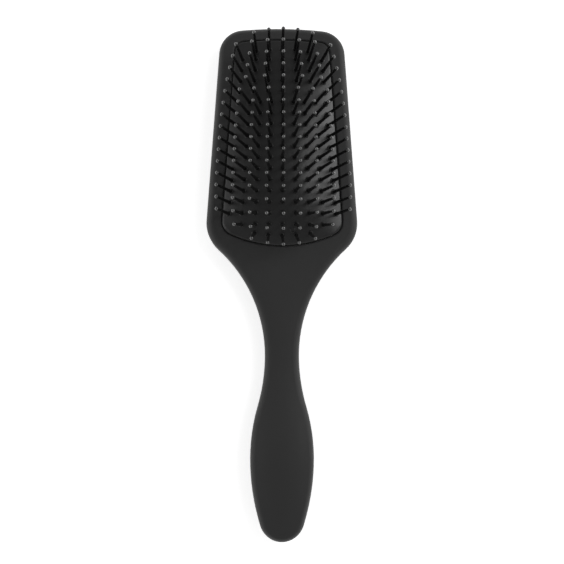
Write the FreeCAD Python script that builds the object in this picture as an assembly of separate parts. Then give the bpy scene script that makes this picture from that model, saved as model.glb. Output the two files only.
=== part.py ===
import FreeCAD, Part
import math
import os

from FreeCAD import Placement, Rotation, Vector

os.makedirs("parts", exist_ok=True)

# A cushioned paddle hair brush, lying on its back. All sizes are in millimetres.
# +Z is up, out of the pins. +Y runs from the handle to the top of the head. The origin is
# at the middle of the plan, on the plane that the back of the brush rests on.
# Two shells make a hollow head and handle. A rubber pad comes up through the opening in the
# front shell, with its flange clamped behind the rim, and the pins stand through the pad.

# ---------------------------------------------------------------- driving dimensions

# Plan of the body, seen along the pins
BODY_LENGTH = 218.0
HEAD_WIDTH = 64.3            # at the shoulders, where the head is widest
HEAD_LENGTH = 84.0           # from the top of the head down to its widest line
HEAD_TAPER = 4.05            # degrees that each side leans in towards the top
HEAD_CROWN_RADIUS = 180.0    # gentle curve of the head's top edge
HEAD_CORNER_RADIUS = 10.7
SHOULDER_RADIUS = 15.0
NECK_WIDTH = 14.5
NECK_FROM_END = 77.6         # from the handle's end up to the neck's narrowest line
GRIP_WIDTH = 26.8
GRIP_FROM_END = 34.8         # from the handle's end up to the grip's widest line
GRIP_BELLY_RADIUS = 95.0     # side of the grip below its widest line

# Side profile of the body, at its centre line
HEAD_FRONT = 13.0
NECK_FRONT = 11.8
GRIP_FRONT = 15.4
END_FRONT = 12.4
NECK_BACK = 2.2
END_BACK = 2.4
FLAT_MARGIN = 6.0            # from the pad opening's foot to where the flat head ends
GRIP_CROWN = 2.8             # how far front and back fall from the centre line to the grip's sides
FRONT_EDGE_RADIUS = 3.0
BACK_EDGE_RADIUS = 4.0

# Shells
WALL = 2.0
PARTING_LEVEL = 7.6          # Z of the joint between the two shells
TONGUE_HEIGHT = 1.2
TONGUE_FACE = 1.0            # inset of the tongue's outer face in the wall
SHELL_GAP = 0.1              # clearance between mating faces of the shells
PEG_RADIUS = 1.5
SOCKET_WALL = 1.2
PEGS_FROM_END = (15.0, 36.0, 58.0, 102.0)
PEG_OVERLAP = 1.6            # length of each peg inside its socket

# Pad opening in the head and the pad
RIM_WIDTH = 6.6              # beside the opening
TOP_RIM_WIDTH = 5.6          # above it
OPENING_LENGTH = 88.4
OPENING_FOOT_RADIUS = 53.0
OPENING_TOP_CORNER = 4.6
OPENING_FOOT_CORNER = 6.0
OPENING_EDGE_RADIUS = 0.8
PAD_GAP = 0.15               # between the pad and the edge of the opening
PAD_RISE = 4.6               # height of the dome over the rim
PAD_TOP_FULLNESS = 2         # power of the dome's fall towards the head's top: higher falls later
PAD_FOOT_FULLNESS = 4        # and towards the foot
PAD_THICKNESS = 1.0
PAD_FLANGE_WIDTH = 2.4
PAD_FLANGE_THICKNESS = 1.4
FLANGE_GAP = 0.05            # above and below the clamped flange
CLAMP_RIB_WIDTH = 1.6
CLAMP_RIB_INSET = 0.2        # how far the rib stands back from the flange's edge
VENT_RADIUS = 0.8

# Pins
ROW_COUNT = 18
FIRST_ROW_INSET = 4.5        # from the opening's top edge to the first row
LAST_ROW_INSET = 4.1         # from the opening's foot to the last row
EDGE_COLUMN_INSET = 2.5      # from the opening's side to the outer column, at the last row
EDGE_COLUMN_TAPER = 1.0      # degrees that the outer column leans in more than the side does
NARROW_ROWS = 5              # rows at the top that have fewer places
NARROW_ROW_PLACES = 3        # on each side of the centre pin
WIDE_ROW_PLACES = 4
END_ROW_BOW = 1.0            # how far the outer pins of both end rows stand back
PIN_LENGTH = 17.6            # outside the pad
PIN_ROOT_RADIUS = 0.75
PIN_NECK_RADIUS = 0.5
PIN_BALL_RADIUS = 0.75
PIN_FLANGE_RADIUS = 1.2
PIN_FLANGE_THICKNESS = 0.8
PIN_HOLE_GAP = 0.05
PIN_SEAT_GAP = 0.06          # between the membrane and the pin's flange

# ---------------------------------------------------------------- derived values

HEAD_TOP = BODY_LENGTH / 2
HANDLE_END = -BODY_LENGTH / 2
WIDEST_LEVEL = HEAD_TOP - HEAD_LENGTH
NECK_LEVEL = HANDLE_END + NECK_FROM_END
GRIP_LEVEL = HANDLE_END + GRIP_FROM_END
OPENING_TOP = HEAD_TOP - TOP_RIM_WIDTH
OPENING_FOOT = OPENING_TOP - OPENING_LENGTH
FLAT_END = OPENING_FOOT - FLAT_MARGIN    # below it the head turns into the neck
LIP_UNDERSIDE = HEAD_FRONT - WALL
FLANGE_TOP = LIP_UNDERSIDE - FLANGE_GAP
FLANGE_UNDERSIDE = FLANGE_TOP - PAD_FLANGE_THICKNESS
CLAMP_RIB_TOP = FLANGE_UNDERSIDE - FLANGE_GAP
PAD_CENTRE = (OPENING_TOP + OPENING_FOOT) / 2
PAD_HALF_LENGTH = OPENING_LENGTH / 2
FIRST_ROW = OPENING_TOP - FIRST_ROW_INSET
LAST_ROW = OPENING_FOOT + LAST_ROW_INSET
ROW_PITCH = (FIRST_ROW - LAST_ROW) / (ROW_COUNT - 1)
REACH = 5.0                  # how far construction surfaces run past the body
TALL = 60.0                  # height of a construction prism, more than the brush's depth
EDGE_MATCH = 0.1             # how near two edges' middles are when they are the same edge


# ---------------------------------------------------------------- plane geometry helpers

def arc(centre, start, end):
    """The shorter arc about centre from start to end."""
    radius = (start - centre).Length
    middle = (start - centre) + (end - centre)
    middle.normalize()
    return Part.Arc(start, centre + middle * radius, end).toShape()


def line(start, end):
    return Part.LineSegment(start, end).toShape()


def mirrored(point):
    return Vector(-point.x, point.y, point.z)


def lean_direction(degrees):
    """Unit vector pointing out of a side that leans in by this angle."""
    return Vector(math.cos(math.radians(degrees)), math.sin(math.radians(degrees)), 0)


def corner(side_point, taper, radius, end_centre, end_radius, upwards):
    """Circle of this radius, inside a leaning side and inside an end arc and tangent to both.
    Returns its centre and where it touches the side and the end arc."""
    outwards = lean_direction(taper)
    along = Vector(-outwards.y, outwards.x, 0) * (1 if upwards else -1)
    start = side_point - outwards * radius - end_centre
    half_b = start.dot(along)
    c = start.dot(start) - (end_radius - radius) ** 2
    centre = end_centre + start + along * (-half_b + math.sqrt(half_b ** 2 - c))
    on_end = Vector(centre - end_centre)
    on_end.normalize()
    return centre, centre + outwards * radius, end_centre + on_end * end_radius


def closed_outline(right_side, top_centre, foot_centre):
    """A face, mirrored about the Y axis. right_side holds (centre, start, end) stretches from the
    top edge to the foot, where the centre is None on a straight one. The end arcs join the sides."""
    edges = []
    for centre, start, end in right_side:
        if centre is None:
            edges.append(line(start, end))
            edges.append(line(mirrored(start), mirrored(end)))
        else:
            edges.append(arc(centre, start, end))
            edges.append(arc(mirrored(centre), mirrored(start), mirrored(end)))
    top_point = right_side[0][1]
    foot_point = right_side[-1][2]
    edges.append(arc(top_centre, mirrored(top_point), top_point))
    edges.append(arc(foot_centre, mirrored(foot_point), foot_point))
    return Part.Face(Part.Wire(Part.__sortEdges__(edges)))


# ---------------------------------------------------------------- outlines in plan

def side_point(inset):
    """Where the head's leaning side starts, above the shoulder."""
    shoulder = Vector(HEAD_WIDTH / 2 - SHOULDER_RADIUS, WIDEST_LEVEL, 0)
    return shoulder + lean_direction(HEAD_TAPER) * (SHOULDER_RADIUS - inset)


def body_outline(inset):
    """Plan of head, neck and handle, moved in by inset all round."""
    top_centre = Vector(0, HEAD_TOP - HEAD_CROWN_RADIUS, 0)
    corner_centre, side_top, crown_end = corner(
        side_point(inset), HEAD_TAPER, HEAD_CORNER_RADIUS - inset,
        top_centre, HEAD_CROWN_RADIUS - inset, True)

    # The flank is one arc, upright at the neck and tangent to the shoulder.
    shoulder_radius = SHOULDER_RADIUS - inset
    shoulder = Vector(HEAD_WIDTH / 2 - SHOULDER_RADIUS, WIDEST_LEVEL, 0)
    neck = Vector(NECK_WIDTH / 2 - inset, NECK_LEVEL, 0)
    across = shoulder.x - neck.x
    rise = shoulder.y - neck.y
    flank_radius = (across ** 2 + rise ** 2 - shoulder_radius ** 2) / (2 * (shoulder_radius + across))
    flank_centre = neck + Vector(flank_radius, 0, 0)
    to_flank = flank_centre - shoulder
    to_flank.normalize()
    flank_top = shoulder + to_flank * shoulder_radius

    # Neck to grip is an S of two equal arcs, upright at both ends.
    grip = Vector(GRIP_WIDTH / 2 - inset, GRIP_LEVEL, 0)
    swell = grip - neck
    s_radius = swell.dot(swell) / (4 * swell.x)
    s_middle = (neck + grip) * 0.5
    neck_centre = neck + Vector(s_radius, 0, 0)
    grip_centre = grip - Vector(s_radius, 0, 0)

    # The handle's end is a circle inside the grip's belly arcs.
    belly_radius = GRIP_BELLY_RADIUS - inset
    belly_centre = grip - Vector(belly_radius, 0, 0)
    end = HANDLE_END + inset
    drop = GRIP_LEVEL - end
    end_radius = (belly_radius ** 2 - belly_centre.x ** 2 - drop ** 2) / (2 * (belly_radius - drop))
    end_centre = Vector(0, end + end_radius, 0)
    to_end = end_centre - belly_centre
    to_end.normalize()
    end_touch = belly_centre + to_end * belly_radius

    right_side = [
        (corner_centre, crown_end, side_top),
        (None, side_top, side_point(inset)),
        (shoulder, side_point(inset), flank_top),
        (flank_centre, flank_top, neck),
        (neck_centre, neck, s_middle),
        (grip_centre, s_middle, grip),
        (belly_centre, grip, end_touch),
    ]
    return closed_outline(right_side, top_centre, end_centre)


def opening_outline(inset):
    """Plan of the pad opening, moved in by inset, or out where inset is negative."""
    side = side_point(RIM_WIDTH + inset)
    top_centre = Vector(0, HEAD_TOP - HEAD_CROWN_RADIUS, 0)
    top_corner, side_top, crown_end = corner(
        side, HEAD_TAPER, OPENING_TOP_CORNER - inset,
        top_centre, HEAD_CROWN_RADIUS - TOP_RIM_WIDTH - inset, True)
    foot_centre = Vector(0, OPENING_FOOT + OPENING_FOOT_RADIUS, 0)
    foot_corner, side_foot, foot_end = corner(
        side, HEAD_TAPER, OPENING_FOOT_CORNER - inset,
        foot_centre, OPENING_FOOT_RADIUS - inset, False)
    right_side = [
        (top_corner, crown_end, side_top),
        (None, side_top, side_foot),
        (foot_corner, side_foot, foot_end),
    ]
    return closed_outline(right_side, top_centre, foot_centre)


def prism(face, bottom, top):
    """The outline extruded between two levels."""
    solid = face.extrude(Vector(0, 0, top - bottom))
    solid.translate(Vector(0, 0, bottom))
    return solid


# ---------------------------------------------------------------- body form

def eased(y, stations):
    """Value at y, easing from each (y, value) station to the next. Stations run downwards in y."""
    if y >= stations[0][0]:
        return stations[0][1]
    for (upper, start), (lower, end) in zip(stations, stations[1:]):
        if y >= lower:
            share = (upper - y) / (upper - lower)
            return start + (end - start) * share * share * (3 - 2 * share)
    return stations[-1][1]


def below_surface(height, x_reach, y_low, y_high, x_steps, y_steps):
    """Solid under the smooth surface z = height(x, y)."""
    rows = []
    for i in range(x_steps + 1):
        x = -x_reach + 2 * x_reach * i / x_steps
        ys = [y_low + (y_high - y_low) * j / y_steps for j in range(y_steps + 1)]
        rows.append([Vector(x, y, height(x, y)) for y in ys])
    surface = Part.BSplineSurface()
    surface.interpolate(rows)
    return surface.toShape().extrude(Vector(0, 0, -TALL))


def below_body_face(stations, crown):
    """Solid under the body's front or back: a plane across the head, and a surface that falls by
    crown from the centre line to the sides of the grip along the handle."""
    crowning = [(FLAT_END, 0.0), (NECK_LEVEL, 1.0)]
    head_level = stations[0][1]
    half_width = HEAD_WIDTH / 2 + REACH

    def height(x, y):
        fall = crown * eased(y, crowning) * (2 * x / GRIP_WIDTH) ** 2
        return eased(y, stations) - fall

    handle = below_surface(height, half_width, HANDLE_END - REACH, FLAT_END, 8, 50)
    head = Part.makeBox(
        2 * half_width, HEAD_TOP + REACH - FLAT_END, TALL,
        Vector(-half_width, FLAT_END, head_level - TALL))
    return handle.fuse(head)


def body_form(inset):
    """Solid of the whole body, moved in by inset on every side."""
    front_stations = [
        (FLAT_END, HEAD_FRONT - inset),
        (NECK_LEVEL, NECK_FRONT - inset),
        (GRIP_LEVEL, GRIP_FRONT - inset),
        (HANDLE_END, END_FRONT - inset),
    ]
    back_stations = [
        (FLAT_END, inset),
        (NECK_LEVEL, NECK_BACK + inset),
        (GRIP_LEVEL, inset),
        (HANDLE_END, END_BACK + inset),
    ]
    form = prism(body_outline(inset), -REACH, TALL - REACH)
    form = form.common(below_body_face(front_stations, GRIP_CROWN))
    form = form.cut(below_body_face(back_stations, -GRIP_CROWN))
    form = form.makeFillet(FRONT_EDGE_RADIUS - inset, edges_between(form, PARTING_LEVEL, TALL))
    return form.makeFillet(BACK_EDGE_RADIUS - inset, edges_between(form, -REACH, PARTING_LEVEL))


def edges_between(shape, bottom, top):
    return [e for e in shape.Edges if e.BoundBox.ZMin > bottom and e.BoundBox.ZMax < top]


# ---------------------------------------------------------------- pad dome

def opening_half_width(y):
    """Half-width of the opening between its straight sides."""
    side = side_point(RIM_WIDTH)
    return side.x - (y - side.y) * math.tan(math.radians(HEAD_TAPER))


def dome_level(x, y):
    """Z of the pad's outer surface: an inflated membrane, level with the rim at its edge."""
    across = 1 - (x / opening_half_width(y)) ** 2
    fullness = PAD_TOP_FULLNESS if y > PAD_CENTRE else PAD_FOOT_FULLNESS
    along = 1 - (abs(y - PAD_CENTRE) / PAD_HALF_LENGTH) ** fullness
    return HEAD_FRONT + PAD_RISE * across * along


def dome_normal(x, y):
    step = 0.01
    slope_x = (dome_level(x + step, y) - dome_level(x - step, y)) / (2 * step)
    slope_y = (dome_level(x, y + step) - dome_level(x, y - step)) / (2 * step)
    normal = Vector(-slope_x, -slope_y, 1)
    normal.normalize()
    return normal


def below_dome(drop):
    """Solid under the pad's outer surface, lowered by drop."""
    return below_surface(
        lambda x, y: dome_level(x, y) - drop,
        opening_half_width(OPENING_FOOT) + 1, OPENING_FOOT - 1, OPENING_TOP + 1, 16, 24)


# ---------------------------------------------------------------- pins

def pin_roots(row):
    """Where the pins of a row leave the pad, from left to right. Row 0 is at the head's top.
    A row's places are evenly spread between the outer columns. The rounded corners of the pad
    leave no room for the outermost pins of the first row and of the last two."""
    y = FIRST_ROW - row * ROW_PITCH
    outer_column = (opening_half_width(y) - EDGE_COLUMN_INSET
                    - (y - LAST_ROW) * math.tan(math.radians(EDGE_COLUMN_TAPER)))
    last = ROW_COUNT - 1
    places = NARROW_ROW_PLACES if row < NARROW_ROWS else WIDE_ROW_PLACES
    missing = {0: 1, last - 1: 1, last: 2}.get(row, 0)
    bow = {0: -END_ROW_BOW, last: END_ROW_BOW}.get(row, 0)
    filled = places - missing
    roots = []
    for place in range(-filled, filled + 1):
        x = outer_column * place / places
        root_y = y + bow * (place / filled) ** 2
        roots.append(Vector(x, root_y, dome_level(x, root_y)))
    return roots


def pin():
    """One pin along Z, with its root at the origin: flange, tapered shank and ball."""
    seat = -(PAD_THICKNESS + PIN_SEAT_GAP)
    ball_centre = PIN_LENGTH - PIN_BALL_RADIUS
    neck_height = ball_centre - math.sqrt(PIN_BALL_RADIUS ** 2 - PIN_NECK_RADIUS ** 2)
    foot = Vector(0, 0, seat - PIN_FLANGE_THICKNESS)
    flange_low = Vector(PIN_FLANGE_RADIUS, 0, foot.z)
    flange_high = Vector(PIN_FLANGE_RADIUS, 0, seat)
    shank_foot = Vector(PIN_ROOT_RADIUS, 0, seat)
    shank_root = Vector(PIN_ROOT_RADIUS, 0, 0)
    neck = Vector(PIN_NECK_RADIUS, 0, neck_height)
    side = Vector(PIN_BALL_RADIUS, 0, ball_centre)
    crown = Vector(0, 0, PIN_LENGTH)
    ball = Part.Arc(neck, side, crown).toShape()
    points = [foot, flange_low, flange_high, shank_foot, shank_root, neck]
    edges = [line(a, b) for a, b in zip(points, points[1:])]
    profile = Part.Face(Part.Wire(edges + [ball, line(crown, foot)]))
    return profile.revolve(Vector(0, 0, 0), Vector(0, 0, 1), 360)


def placed(shape, root):
    """A copy of a shape that stands along Z, moved to a root and turned to stand on the dome."""
    copy = shape.copy()
    copy.Placement = Placement(root, Rotation(Vector(0, 0, 1), dome_normal(root.x, root.y)))
    return copy


def pin_row(row):
    return Part.Compound([placed(pin(), root) for root in pin_roots(row)])


# ---------------------------------------------------------------- cushion pad

def drill(radius):
    """Cylinder along Z that reaches through the membrane from both sides."""
    return Part.makeCylinder(radius, 4 * PAD_THICKNESS, Vector(0, 0, -2 * PAD_THICKNESS))


def vent_place():
    """Between the last two rows of pins, half a place right of the centre line."""
    x = max(root.x for root in pin_roots(ROW_COUNT - 1)) / 4
    y = LAST_ROW + ROW_PITCH / 2
    return Vector(x, y, dome_level(x, y))


def cushion_pad():
    """Domed rubber membrane with a skirt through the opening and a flange behind the rim. It has
    a hole for each pin and a vent hole at the foot."""
    dome = below_dome(0).common(prism(opening_outline(PAD_GAP), FLANGE_UNDERSIDE, TALL))
    flange = prism(opening_outline(-PAD_FLANGE_WIDTH), FLANGE_UNDERSIDE, FLANGE_TOP)
    chamber = below_dome(PAD_THICKNESS).common(
        prism(opening_outline(PAD_GAP + PAD_THICKNESS), FLANGE_UNDERSIDE - REACH, TALL))
    pad = dome.fuse(flange).cut(chamber)
    holes = []
    for row in range(ROW_COUNT):
        for root in pin_roots(row):
            holes.append(placed(drill(PIN_ROOT_RADIUS + PIN_HOLE_GAP), root))
    holes.append(placed(drill(VENT_RADIUS), vent_place()))
    return pad.cut(Part.Compound(holes)).removeSplitter()


# ---------------------------------------------------------------- shells

def ring(outline, outer_inset, inner_inset, bottom, top):
    """Band between two insets of the same outline."""
    return prism(outline(outer_inset), bottom, top).cut(prism(outline(inner_inset), bottom, top))


def post(radius, level, bottom, top):
    return Part.makeCylinder(radius, top - bottom, Vector(0, level, bottom))


def edges_on(shape, outline, z):
    """The shape's edges that follow an outline at this level."""
    centres = [edge.CenterOfMass + Vector(0, 0, z) for edge in outline.Edges]
    return [e for e in shape.Edges if any((e.CenterOfMass - c).Length < EDGE_MATCH for c in centres)]


def front_shell(outer, hollow, skin):
    """Front half of the body, with the pad opening, a rebate for the back shell's tongue, and a
    socket for each peg."""
    shell = outer.cut(hollow).common(prism(body_outline(-REACH), PARTING_LEVEL, TALL))
    shell = shell.cut(prism(opening_outline(0), PARTING_LEVEL, TALL))
    shell = shell.makeFillet(OPENING_EDGE_RADIUS, edges_on(shell, opening_outline(0), HEAD_FRONT))
    rebate_top = PARTING_LEVEL + TONGUE_HEIGHT + SHELL_GAP
    shell = shell.cut(ring(body_outline, TONGUE_FACE, WALL + SHELL_GAP, PARTING_LEVEL, rebate_top))
    bore = PEG_RADIUS + SHELL_GAP
    bore_top = PARTING_LEVEL + PEG_OVERLAP + SHELL_GAP
    for from_end in PEGS_FROM_END:
        socket = post(bore + SOCKET_WALL, HANDLE_END + from_end, PARTING_LEVEL, TALL).common(skin)
        shell = shell.fuse(socket.cut(post(bore, HANDLE_END + from_end, PARTING_LEVEL, bore_top)))
    return shell


def back_shell(outer, hollow, skin):
    """Back half of the body, with the tongue, the rib that clamps the pad's flange, and the pegs."""
    shell = outer.cut(hollow).common(prism(body_outline(-REACH), -REACH, PARTING_LEVEL))
    tongue_root = PARTING_LEVEL - TONGUE_HEIGHT
    tongue_top = PARTING_LEVEL + TONGUE_HEIGHT
    shell = shell.fuse(ring(body_outline, TONGUE_FACE + SHELL_GAP, WALL, tongue_root, tongue_top))
    rib_outset = PAD_FLANGE_WIDTH - CLAMP_RIB_INSET
    rib = ring(opening_outline, -rib_outset, CLAMP_RIB_WIDTH - rib_outset, 0, CLAMP_RIB_TOP)
    shell = shell.fuse(rib.common(skin))
    for from_end in PEGS_FROM_END:
        peg = post(PEG_RADIUS, HANDLE_END + from_end, 0, PARTING_LEVEL + PEG_OVERLAP)
        shell = shell.fuse(peg.common(skin))
    return shell


# ---------------------------------------------------------------- build

def build():
    outer = body_form(0)
    hollow = body_form(WALL)
    skin = body_form(WALL / 2)
    nodes = {
        "front_shell": front_shell(outer, hollow, skin),
        "back_shell": back_shell(outer, hollow, skin),
        "cushion_pad": cushion_pad(),
    }
    for row in range(ROW_COUNT):
        nodes["pin_row_%02d" % (row + 1)] = pin_row(row)
    return nodes


for name, shape in build().items():
    shape.exportStep("parts/" + name + ".step")
    print(name, shape.isValid(), len(shape.Solids), round(shape.Volume, 1))
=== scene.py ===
import math

import bmesh
import bpy
import numpy as np
from mathutils import Matrix, Vector


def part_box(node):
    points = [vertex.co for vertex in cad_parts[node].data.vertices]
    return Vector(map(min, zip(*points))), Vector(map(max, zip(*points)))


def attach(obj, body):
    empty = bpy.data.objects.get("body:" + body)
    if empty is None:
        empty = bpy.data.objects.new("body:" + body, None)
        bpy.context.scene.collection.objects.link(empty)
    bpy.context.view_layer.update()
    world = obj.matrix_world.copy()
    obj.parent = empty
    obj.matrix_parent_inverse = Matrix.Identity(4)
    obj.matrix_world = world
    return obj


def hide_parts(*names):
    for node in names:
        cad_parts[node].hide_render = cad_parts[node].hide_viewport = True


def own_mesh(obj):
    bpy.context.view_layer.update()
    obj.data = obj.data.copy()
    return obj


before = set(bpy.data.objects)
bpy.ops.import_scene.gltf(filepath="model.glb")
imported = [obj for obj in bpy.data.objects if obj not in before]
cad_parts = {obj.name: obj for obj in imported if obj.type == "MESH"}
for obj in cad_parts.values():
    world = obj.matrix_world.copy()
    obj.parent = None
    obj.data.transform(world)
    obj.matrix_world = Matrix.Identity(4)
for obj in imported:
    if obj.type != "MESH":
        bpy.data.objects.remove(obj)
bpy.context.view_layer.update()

# A cushioned paddle brush that lies on its back with its pins up. Everything is in metres.
# The two shells and the pins are the frame's own, with better materials. The rubber pad is made
# here from the frame's plain pad: a smooth even skin, with a moulded seat round each pin.

MM = 0.001


# ---------------------------------------------------------------- sizes

MERGE_DISTANCE = 0.002 * MM   # corners closer than this become one
LEVEL_NORMAL = 0.9            # a face that looks up more than this is level

# Pad
PAD_RISE = 4.6 * MM           # of the dome over the rim
PAD_EDGE = 0.5 * MM           # how far below the rim the dome is kept
PAD_SKIRT = 2.0 * MM          # how far the skin turns down inside the opening
PAD_TOP_NORMAL = 0.5          # the dome's faces look up at least this much
PAD_VOXEL = 0.45 * MM         # spacing of the skin's mesh
PAD_SMOOTHING = 6             # passes
PAD_SMOOTHING_SHARE = 0.5     # of the way to the average of its neighbours, for a point in one pass
HOLE_EDGES = 80               # more than the edges of a pin hole, fewer than those of the opening

# Pins
PIN_FOOT_DEPTH = 1.86 * MM    # from the underside of a pin's flange up to where the pin leaves the pad
PIN_END_BAND = 0.01 * MM      # points this close to a pin's furthest one belong to the same end
PIN_PASSES = 3                # of finding each end of a pin from the other
PIN_SHOWN = 18 * MM           # about how far the tallest tips stand over the pad's top

# Moulded ring round each pin
SEAT_SIDES = 12
SEAT_FOOT_RADIUS = 1.45 * MM
SEAT_SHOULDER_RADIUS = 1.15 * MM
SEAT_LIP_RADIUS = 0.92 * MM
SEAT_BORE_RADIUS = 0.8 * MM
SEAT_FOOT = -0.45 * MM
SEAT_TOP = 0.3 * MM
SEAT_BORE_DEPTH = 0.5 * MM
VENT_SHARE = 0.25             # of the way from the centre line to the end of the last row but one

# Camera, almost straight above
VIEW_WIDTH = 242.2 * MM       # width seen at the level of the body's widest line
VIEW_CENTRE = Vector((0.1, 0.1, 6.0)) * MM
CAMERA_OFFSET = Vector((-9.5, -18.0, 350.0)) * MM    # from the view's centre
SENSOR_WIDTH = 36.0           # in millimetres, as the lens is

# Studio. The walls' top and the ceiling's edge are sines of the angle over the horizon
FLOOR_WIDTH = 30.0
LIGHT_AIM = Vector((0, 0.02, 0))
LIGHT_DISTANCE = 0.9          # from the point that the lights are aimed at
WALL_BRIGHTNESS = 0.95
WALL_TOP = 0.05
CEILING_BRIGHTNESS = 0.33
CEILING_EDGE = 0.7

# Sockets of a Mix node that mixes colours
MIX_FIRST = 6
MIX_SECOND = 7
MIX_RESULT = 2

pad_low, pad_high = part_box("cushion_pad")
rim_level = pad_high.z - PAD_RISE
pin_rows = sorted(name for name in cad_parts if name.startswith("pin_row_"))


# ---------------------------------------------------------------- working on meshes

def pick(*pieces):
    """Selects only these pieces. The last one is the active one."""
    if bpy.context.object and bpy.context.object.mode != "OBJECT":
        bpy.ops.object.mode_set(mode="OBJECT")
    bpy.ops.object.select_all(action="DESELECT")
    for piece in pieces:
        piece.select_set(True)
    bpy.context.view_layer.objects.active = pieces[-1]


def choose_faces(piece, test):
    """In edit mode, selects only the faces that pass the test."""
    bpy.ops.mesh.select_mode(type="FACE")
    bpy.ops.mesh.select_all(action="DESELECT")
    mesh = bmesh.from_edit_mesh(piece.data)
    for face in mesh.faces:
        face.select_set(test(face))
    bmesh.update_edit_mesh(piece.data)


def choose_open_edges(piece):
    """In edit mode, selects only the edges that have a face on just one side."""
    bpy.ops.mesh.select_mode(type="EDGE")
    bpy.ops.mesh.select_all(action="DESELECT")
    mesh = bmesh.from_edit_mesh(piece.data)
    for edge in mesh.edges:
        edge.select_set(edge.is_boundary)
    bmesh.update_edit_mesh(piece.data)


def face_outwards():
    """In edit mode, selects every face and turns it outwards."""
    bpy.ops.mesh.select_all(action="SELECT")
    bpy.ops.mesh.normals_make_consistent(inside=False)


def merged_copy(piece, name):
    """A free copy of a frame piece, with its loose triangles merged into one surface."""
    pick(piece)
    bpy.ops.object.duplicate()
    copy = bpy.context.object
    copy.parent = None
    copy.name = name
    bpy.ops.object.mode_set(mode="EDIT")
    bpy.ops.mesh.select_all(action="SELECT")
    bpy.ops.mesh.remove_doubles(threshold=MERGE_DISTANCE)
    bpy.ops.object.mode_set(mode="OBJECT")
    return copy


# ---------------------------------------------------------------- pins

def pin_axis(single):
    """(root, direction) of one pin: the line from the middle of its flange's underside to its tip,
    and the place on it where the pin leaves the pad."""
    points = np.array([vertex.co for vertex in single.data.vertices])
    tip = points[points[:, 2].argmax()]
    for _ in range(PIN_PASSES):
        reach = np.linalg.norm(points - tip, axis=1)
        foot = points[reach > reach.max() - PIN_END_BAND].mean(axis=0)
        tip = points[np.linalg.norm(points - foot, axis=1).argmax()]
    direction = Vector(tip - foot).normalized()
    return Vector(foot) + direction * PIN_FOOT_DEPTH, direction


def pin_axes(row):
    """(root, direction) of each pin of a row, from left to right."""
    copy = merged_copy(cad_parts[row], "loose_pins")
    bpy.ops.object.mode_set(mode="EDIT")
    bpy.ops.mesh.separate(type="LOOSE")
    bpy.ops.object.mode_set(mode="OBJECT")
    axes = []
    for single in list(bpy.context.selected_objects):
        axes.append(pin_axis(single))
        bpy.data.objects.remove(single)
    return sorted(axes, key=lambda axis: axis[0].x)


# ---------------------------------------------------------------- pad

def pad_skin():
    """The pad's skin: the frame's dome with its holes closed, turned down at its edge, closed below,
    then meshed evenly and smoothed."""
    skin = merged_copy(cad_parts["cushion_pad"], "rubber_pad")
    bpy.ops.object.mode_set(mode="EDIT")
    face_outwards()
    lowest = rim_level - PAD_EDGE
    choose_faces(skin, lambda f: f.normal.z < PAD_TOP_NORMAL or f.calc_center_median().z < lowest)
    bpy.ops.mesh.delete(type="FACE")
    bpy.ops.mesh.select_all(action="SELECT")
    bpy.ops.mesh.fill_holes(sides=HOLE_EDGES)
    choose_open_edges(skin)
    bpy.ops.mesh.extrude_region_move(TRANSFORM_OT_translate={"value": (0, 0, -PAD_SKIRT)})
    bpy.ops.mesh.edge_face_add()
    face_outwards()
    bpy.ops.object.mode_set(mode="OBJECT")
    even = skin.modifiers.new("even mesh", "REMESH")
    even.mode = "VOXEL"
    even.voxel_size = PAD_VOXEL
    even.use_smooth_shade = True
    smooth = skin.modifiers.new("smooth", "SMOOTH")
    smooth.factor = PAD_SMOOTHING_SHARE
    smooth.iterations = PAD_SMOOTHING
    for modifier in (even.name, smooth.name):
        bpy.ops.object.modifier_apply(modifier=modifier)
    return skin


def pin_seat():
    """Raised rubber ring with a bore, standing on the origin along Z."""
    bpy.ops.object.select_all(action="DESELECT")
    bpy.ops.mesh.primitive_cylinder_add(
        vertices=SEAT_SIDES, radius=SEAT_FOOT_RADIUS, depth=SEAT_TOP - SEAT_FOOT,
        location=(0, 0, (SEAT_TOP + SEAT_FOOT) / 2))
    seat = bpy.context.object
    bpy.ops.object.transform_apply(location=True, rotation=True, scale=True)
    bpy.ops.object.mode_set(mode="EDIT")
    choose_faces(seat, lambda f: f.normal.z > LEVEL_NORMAL)
    radius = SEAT_FOOT_RADIUS
    rings = ((SEAT_SHOULDER_RADIUS, 0), (SEAT_LIP_RADIUS, 0), (SEAT_BORE_RADIUS, -SEAT_BORE_DEPTH))
    for ring_radius, step in rings:
        share = ring_radius / radius
        bpy.ops.transform.resize(value=(share, share, 1))
        bpy.ops.mesh.extrude_region_move(TRANSFORM_OT_translate={"value": (0, 0, step)})
        radius = ring_radius
    face_outwards()
    bpy.ops.object.mode_set(mode="OBJECT")
    bpy.ops.object.shade_smooth()
    return seat


def seated(seat, root, direction):
    """A copy of the seat with its own mesh, moved to a root and turned along a direction."""
    copy = seat.copy()
    copy.data = seat.data.copy()
    bpy.context.collection.objects.link(copy)
    copy.data.transform(Matrix.Translation(root) @ direction.to_track_quat("Z", "Y").to_matrix().to_4x4())
    return copy


def vent_axis(roots):
    """Midway between the last two rows, right of the centre line."""
    upper, lower = roots[-2], roots[-1]
    x = upper[-1][0].x * VENT_SHARE
    near = [min(row, key=lambda axis: abs(axis[0].x - x))[0] for row in (upper, lower)]
    level = sum(root.z for root in near) / len(near)
    middle = (near[0].y + near[1].y) / 2
    return Vector((x, middle, level)), Vector((0, 0, 1))


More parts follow.
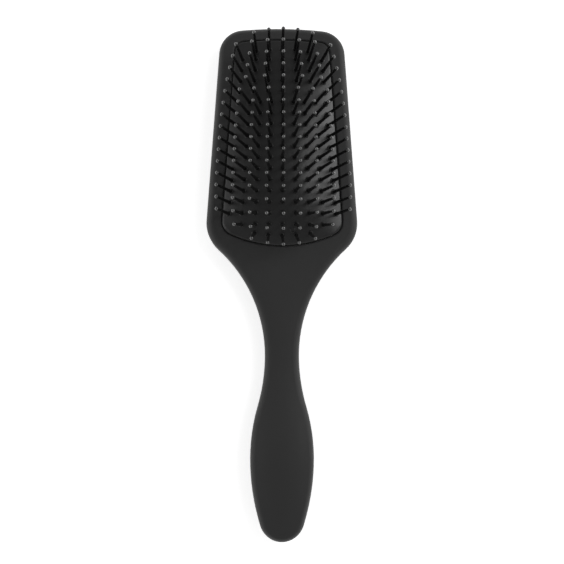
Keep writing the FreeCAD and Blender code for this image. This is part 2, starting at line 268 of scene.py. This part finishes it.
def rubber_pad(roots):
    """The skin with a seat for each pin, and one more for the vent near the foot."""
    skin = pad_skin()
    seat = pin_seat()
    seats = [seated(seat, root, direction) for row in roots for root, direction in row]
    seats.append(seated(seat, *vent_axis(roots)))
    bpy.data.objects.remove(seat)
    pick(*seats, skin)
    bpy.ops.object.join()
    return skin


# ---------------------------------------------------------------- materials

class Value:
    """A number that changes over a surface. Maths on it adds the nodes."""

    def __init__(self, finish, socket):
        self.finish = finish
        self.socket = socket

    def maths(self, operation, first, second):
        return self.finish.add("ShaderNodeMath", {"operation": operation}, {0: first, 1: second})

    def __add__(self, other):
        return self.maths("ADD", self, other)

    def __radd__(self, other):
        return self.maths("ADD", other, self)

    def __sub__(self, other):
        return self.maths("SUBTRACT", self, other)

    def __rsub__(self, other):
        return self.maths("SUBTRACT", other, self)

    def __mul__(self, other):
        return self.maths("MULTIPLY", self, other)

    def __rmul__(self, other):
        return self.maths("MULTIPLY", other, self)


class Finish:
    """A material in the making: one principled shader, and the nodes that feed it."""

    def __init__(self, name):
        self.material = bpy.data.materials.new(name)
        self.material.use_nodes = True
        self.tree = self.material.node_tree
        self.shader = self.tree.nodes["Principled BSDF"]
        self.place = self.add("ShaderNodeTexCoord", {}, {}, "Object")
        self.facing = self.add("ShaderNodeTexCoord", {}, {}, "Normal")

    def add(self, kind, settings, inputs, output=0):
        """One node: its settings first, then its sockets' values or links. Returns one output."""
        node = self.tree.nodes.new(kind)
        for key, setting in settings.items():
            if key == "stops":
                self.set_stops(node.color_ramp, setting)
            else:
                setattr(node, key, setting)
        for key, value in inputs.items():
            self.feed(node.inputs[key], value)
        return Value(self, node.outputs[output])

    def set_stops(self, ramp, stops):
        """A ramp's stops, as (place, brightness)."""
        while len(ramp.elements) < len(stops):
            ramp.elements.new(1)
        for element, (place, brightness) in zip(ramp.elements, stops):
            element.position = place
            element.color = (brightness, brightness, brightness, 1)

    def feed(self, socket, value):
        """Links a changing value to a socket, or sets a plain one on it."""
        if isinstance(value, Value):
            self.tree.links.new(value.socket, socket)
        else:
            socket.default_value = value

    def shade(self, **inputs):
        """Sets the shader's sockets. Underscores stand for the spaces in their names."""
        for key, value in inputs.items():
            self.feed(self.shader.inputs[key.replace("_", " ")], value)

    def noise(self, size, detail=2.0, roughness=0.5, place=None):
        """Cloudy noise from 0 to 1, whose patches are about this many metres across."""
        return self.add("ShaderNodeTexNoise", {}, {
            "Vector": place or self.place, "Scale": 1 / size, "Detail": detail,
            "Roughness": roughness}, "Fac")

    def ramp(self, value, *stops):
        """The value passed through a ramp with these (place, brightness) stops."""
        return self.add("ShaderNodeValToRGB", {"stops": stops}, {"Fac": value})

    def stretched(self, x, y, z):
        """The place with its axes scaled, so that a pattern runs along one of them."""
        return self.add("ShaderNodeMapping", {}, {"Vector": self.place, "Scale": (x, y, z)})

    def axis(self, vector, name):
        """One of a vector's three numbers, by its letter."""
        return self.add("ShaderNodeSeparateXYZ", {}, {"Vector": vector}, name)

    def mix(self, share, first, second):
        """From the first colour to the second."""
        return self.add("ShaderNodeMix", {"data_type": "RGBA"}, {
            "Factor": share, MIX_FIRST: first, MIX_SECOND: second}, MIX_RESULT)

    def bump(self, height, depth, strength, under=None):
        """A relief this many metres deep, over another relief if one is given."""
        inputs = {"Height": height, "Distance": depth, "Strength": strength}
        if under:
            inputs["Normal"] = under
        return self.add("ShaderNodeBump", {}, inputs, "Normal")


def grey(level, warmth=0.0):
    """A colour of this brightness, slightly warmer than grey or, below zero, cooler."""
    return (level * (1 + warmth), level, level * (1 - warmth), 1)


def soft_touch():
    """Matte charcoal coating over plastic: fine grain, faint hand marks, polished rounded edges."""
    finish = Finish("soft touch charcoal")
    grain = finish.noise(0.22 * MM, detail=3.0)
    pebble = finish.noise(0.9 * MM)
    clouds = finish.noise(26 * MM, detail=4.0, roughness=0.6)
    smears = finish.noise(9 * MM, detail=5.0, roughness=0.7, place=finish.stretched(1.0, 0.25, 1.0))
    scratches = finish.ramp(
        finish.noise(1.6 * MM, detail=6.0, roughness=0.7, place=finish.stretched(3.0, 0.12, 1.0)),
        (0.0, 0.0), (0.69, 0.0), (0.74, 1.0), (1.0, 1.0))
    tilt = finish.axis(finish.facing, "Z")
    upright = finish.add("ShaderNodeMath", {"operation": "ABSOLUTE"}, {0: tilt})
    rounded = finish.ramp(upright, (0.05, 0.0), (0.35, 1.0), (0.8, 1.0), (0.98, 0.0))
    wear = rounded * finish.ramp(clouds, (0.4, 0.0), (0.7, 1.0))
    coat = finish.mix(clouds, grey(0.0125), grey(0.0165))
    coat = finish.mix(wear * 0.5, coat, grey(0.026))
    coat = finish.mix(scratches * 0.18, coat, grey(0.05))
    height = grain * 0.6 + pebble * 0.4
    finish.shade(
        Base_Color=coat,
        Roughness=0.56 + smears * 0.12 - wear * 0.10 + grain * 0.04,
        Specular_IOR_Level=0.45,
        Sheen_Weight=0.22,
        Sheen_Roughness=0.35,
        Normal=finish.bump(height, 0.035 * MM, 0.5))
    return finish.material


def pad_rubber():
    """Glossier black rubber: slight ripple and pores, dust in its hollows, duller patches."""
    finish = Finish("pad rubber black")
    pores = finish.noise(0.3 * MM, detail=2.0)
    ripple = finish.noise(7 * MM, detail=2.0)
    patches = finish.noise(14 * MM, detail=4.0, roughness=0.6)
    dust = finish.ramp(
        finish.noise(0.55 * MM, detail=4.0, roughness=0.7), (0.0, 0.0), (0.66, 0.0), (0.76, 1.0), (1.0, 1.0))
    bloom = finish.ramp(patches, (0.35, 0.0), (0.75, 1.0))
    skin = finish.mix(bloom, grey(0.006), grey(0.011))
    skin = finish.mix(dust * 0.2, skin, grey(0.09, 0.05))
    skin_relief = finish.bump(ripple, 0.25 * MM, 0.35)
    finish.shade(
        Base_Color=skin,
        Roughness=0.29 + bloom * 0.12 + dust * 0.2,
        Specular_IOR_Level=0.5,
        Normal=finish.bump(pores, 0.02 * MM, 0.35, under=skin_relief))
    return finish.material


def pin_nylon():
    """Glossy black nylon: a faint drawn grain along the shank, and tips with a glossy dipped coat whose
    colour is also lightened upwards as a painted highlight.
    """
    finish = Finish("pin nylon black")
    drawn = finish.noise(0.35 * MM, detail=2.0, place=finish.stretched(1.0, 1.0, 0.12))
    clouds = finish.noise(5 * MM, detail=3.0)
    height = finish.axis(finish.place, "Z")
    # Rises towards the tips: it feeds the glossy dipped coat, and it lightens the colour there as a painted
    # highlight.
    tip_coat_and_painted_highlight = finish.ramp(
        (height - pad_high.z) * (1 / PIN_SHOWN), (0.0, 0.0), (0.6, 0.1), (0.85, 1.0))
    nylon = finish.mix(clouds, grey(0.004), grey(0.008))
    # Painted highlight: the colour lightened towards the tips.
    nylon = finish.mix(tip_coat_and_painted_highlight * 0.3, nylon, grey(0.016))
    finish.shade(
        Base_Color=nylon,
        Roughness=0.2 + clouds * 0.08 - tip_coat_and_painted_highlight * 0.04,
        Specular_IOR_Level=0.5,
        Coat_Weight=tip_coat_and_painted_highlight,
        Coat_Roughness=0.16,
        Coat_IOR=1.8,
        Normal=finish.bump(drawn, 0.012 * MM, 0.3))
    return finish.material


def floor_paper():
    """Seamless white paper."""
    finish = Finish("white paper")
    fibres = finish.noise(1.5 * MM, detail=3.0)
    finish.shade(
        Base_Color=finish.mix(fibres, grey(0.86), grey(0.9)),
        Roughness=0.9,
        Emission_Color=grey(1.0),
        Emission_Strength=0.6)
    return finish.material


def paint(piece, material):
    """Gives a piece this material in all of its slots."""
    if not piece.material_slots:
        piece.data.materials.append(material)
    for slot in piece.material_slots:
        slot.link = "OBJECT"
        slot.material = material


# ---------------------------------------------------------------- camera, light and floor

def camera():
    """Aimed at the view's centre, with the head's end up."""
    data = bpy.data.cameras.new("camera")
    data.sensor_width = SENSOR_WIDTH
    data.lens = SENSOR_WIDTH * CAMERA_OFFSET.length / VIEW_WIDTH
    data.clip_start = 10 * MM
    view = bpy.data.objects.new("camera", data)
    bpy.context.collection.objects.link(view)
    view.location = VIEW_CENTRE + CAMERA_OFFSET
    backwards = CAMERA_OFFSET.normalized()
    right = Vector((0, 1, 0)).cross(backwards).normalized()
    view.rotation_euler = Matrix((right, backwards.cross(right), backwards)).transposed().to_euler()
    bpy.context.scene.camera = view


def soft_light(name, lean, side, width, length, watts):
    """A rectangular light over the brush, leaned from upright towards a side. Both are in degrees,
    the side counted from the right towards the head's end."""
    data = bpy.data.lights.new(name, "AREA")
    data.shape = "RECTANGLE"
    data.size = width
    data.size_y = length
    data.energy = watts
    light = bpy.data.objects.new(name, data)
    bpy.context.collection.objects.link(light)
    lean, side = math.radians(lean), math.radians(side)
    towards = Vector((math.sin(lean) * math.cos(side), math.sin(lean) * math.sin(side), math.cos(lean)))
    light.location = LIGHT_AIM + towards * LIGHT_DISTANCE
    light.rotation_euler = towards.to_track_quat("Z", "Y").to_euler()


def studio():
    """White walls that darken overhead."""
    world = bpy.data.worlds.new("studio")
    world.use_nodes = True
    nodes, links = world.node_tree.nodes, world.node_tree.links
    place = nodes.new("ShaderNodeTexCoord")
    height = nodes.new("ShaderNodeSeparateXYZ")
    fade = nodes.new("ShaderNodeMapRange")
    fade.inputs["From Min"].default_value = WALL_TOP
    fade.inputs["From Max"].default_value = CEILING_EDGE
    fade.inputs["To Min"].default_value = WALL_BRIGHTNESS
    fade.inputs["To Max"].default_value = CEILING_BRIGHTNESS
    links.new(place.outputs["Generated"], height.inputs["Vector"])
    links.new(height.outputs["Z"], fade.inputs["Value"])
    links.new(fade.outputs["Result"], nodes["Background"].inputs["Strength"])
    nodes["Background"].inputs["Color"].default_value = grey(1.0)
    return world


def lights():
    """A long key light from the right, a weaker one from the left, and the white room."""
    soft_light("key", lean=50, side=24, width=0.3, length=0.9, watts=3.4)
    soft_light("fill", lean=58, side=180, width=0.4, length=0.8, watts=1.5)
    bpy.context.scene.world = studio()
    bpy.context.scene.view_settings.view_transform = "Standard"


def floor():
    """White paper, wide enough that its edge is never in view."""
    bpy.ops.object.select_all(action="DESELECT")
    bpy.ops.mesh.primitive_plane_add(size=FLOOR_WIDTH, location=(0, 0, 0))
    paper = bpy.context.object
    paper.name = "paper_floor"
    paint(paper, floor_paper())


# ---------------------------------------------------------------- the brush

def dress_frame():
    """Gives the frame's own shells and pins their materials."""
    shell_finish = soft_touch()
    pin_finish = pin_nylon()
    for name in ("front_shell", "back_shell"):
        paint(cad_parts[name], shell_finish)
    for name in pin_rows:
        paint(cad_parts[name], pin_finish)


def fit_pad():
    """The detailed pad, held by the body."""
    pad = rubber_pad([pin_axes(row) for row in pin_rows])
    pad.data.materials.clear()
    paint(pad, pad_rubber())
    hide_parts("cushion_pad")
    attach(pad, "brush_body")
    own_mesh(pad)


camera()
lights()
floor()
dress_frame()
fit_pad()
